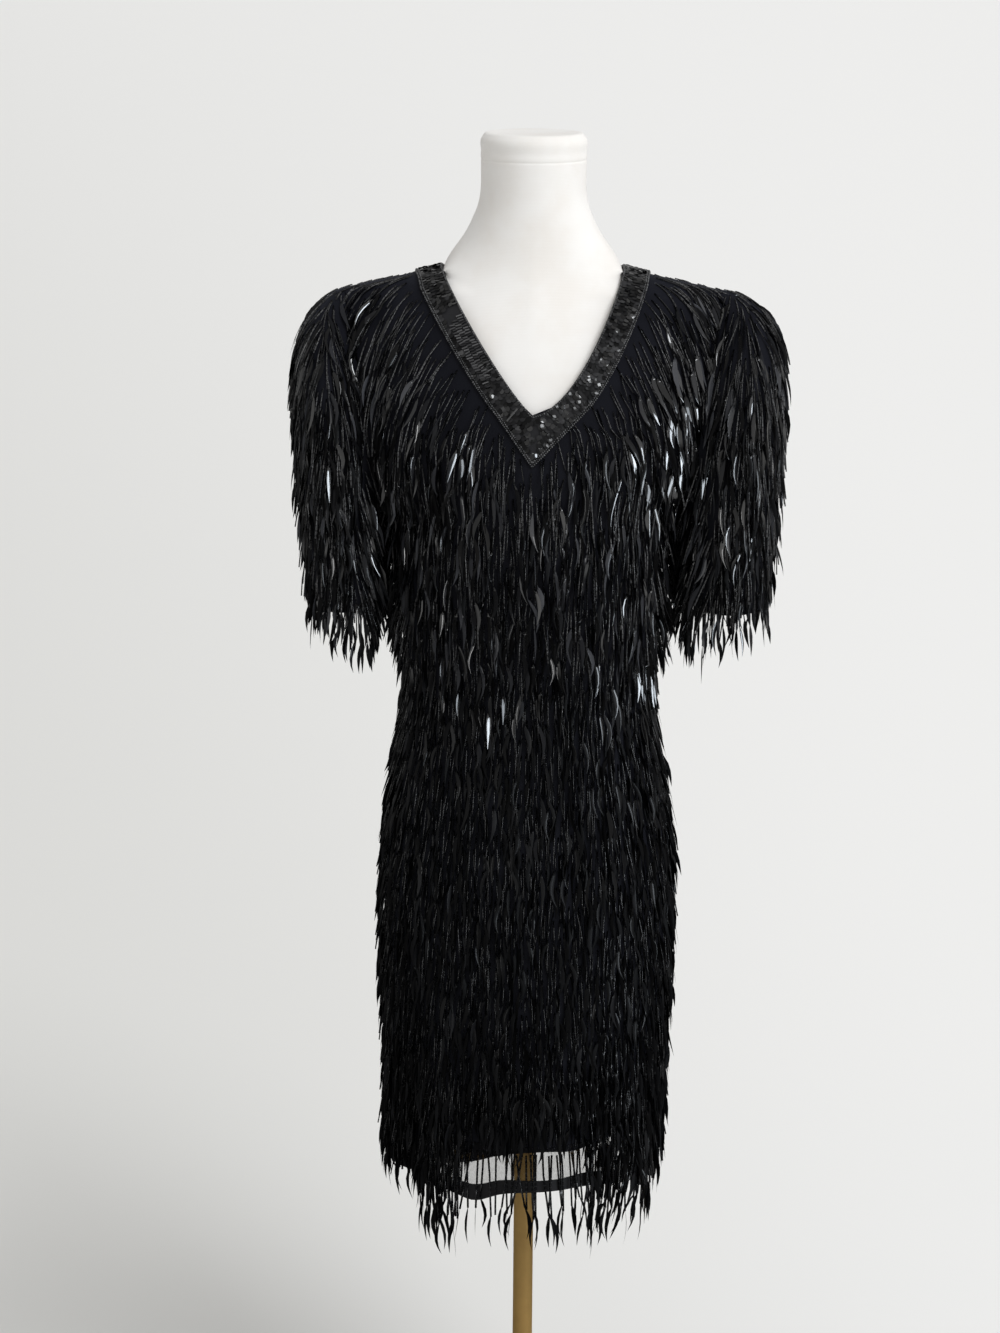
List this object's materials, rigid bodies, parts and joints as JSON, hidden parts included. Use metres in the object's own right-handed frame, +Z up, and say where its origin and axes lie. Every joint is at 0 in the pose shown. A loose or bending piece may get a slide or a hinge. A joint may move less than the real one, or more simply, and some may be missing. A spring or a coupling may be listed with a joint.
{
  "type": "beaded fringe dress on a dress form",
  "caption": "Black knee-length fringe dress with a V neck and short wide sleeves, on a limbless dress form with a brass pole and round base.",
  "frame": {"origin": "on the floor, on the axis of the pole, at the middle of the base's underside", "axes": "+Z up along the pole, -Y the front of the dress, +X to the right as the front is seen"},
  "size_m": [0.5191, 0.32, 1.526],
  "materials": {
    "georgette": "sheer navy black georgette",
    "sequins": "overlapping black sequins",
    "lining_cloth": "matte black lining",
    "beads": "glossy black bugle beads and curved paillettes",
    "form_cover": "smooth white stretch cover",
    "brass": "satin brass"
  },
  "bodies": {
    "root": {"front_panel": "georgette", "back_panel_left": "georgette", "back_panel_right": "georgette", "sleeve_left": "georgette", "sleeve_right": "georgette", "hem_band": "georgette", "neck_band_left": "sequins", "neck_band_right": "sequins", "neck_band_back": "sequins", "lining": "lining_cloth", "fringe_chest_front": "beads", "fringe_chest_back": "beads", "fringe_ribs": "beads", "fringe_waist": "beads", "fringe_hips": "beads", "fringe_seat": "beads", "fringe_thigh": "beads", "fringe_hem": "beads", "fringe_yoke_left": "beads", "fringe_yoke_right": "beads", "fringe_yoke_back": "beads", "fringe_sleeve_upper_left": "beads", "fringe_sleeve_upper_right": "beads", "fringe_sleeve_cuff_left": "beads", "fringe_sleeve_cuff_right": "beads", "dress_form": "form_cover", "pole": "brass", "base": "brass"}
  },
  "joints": []
}
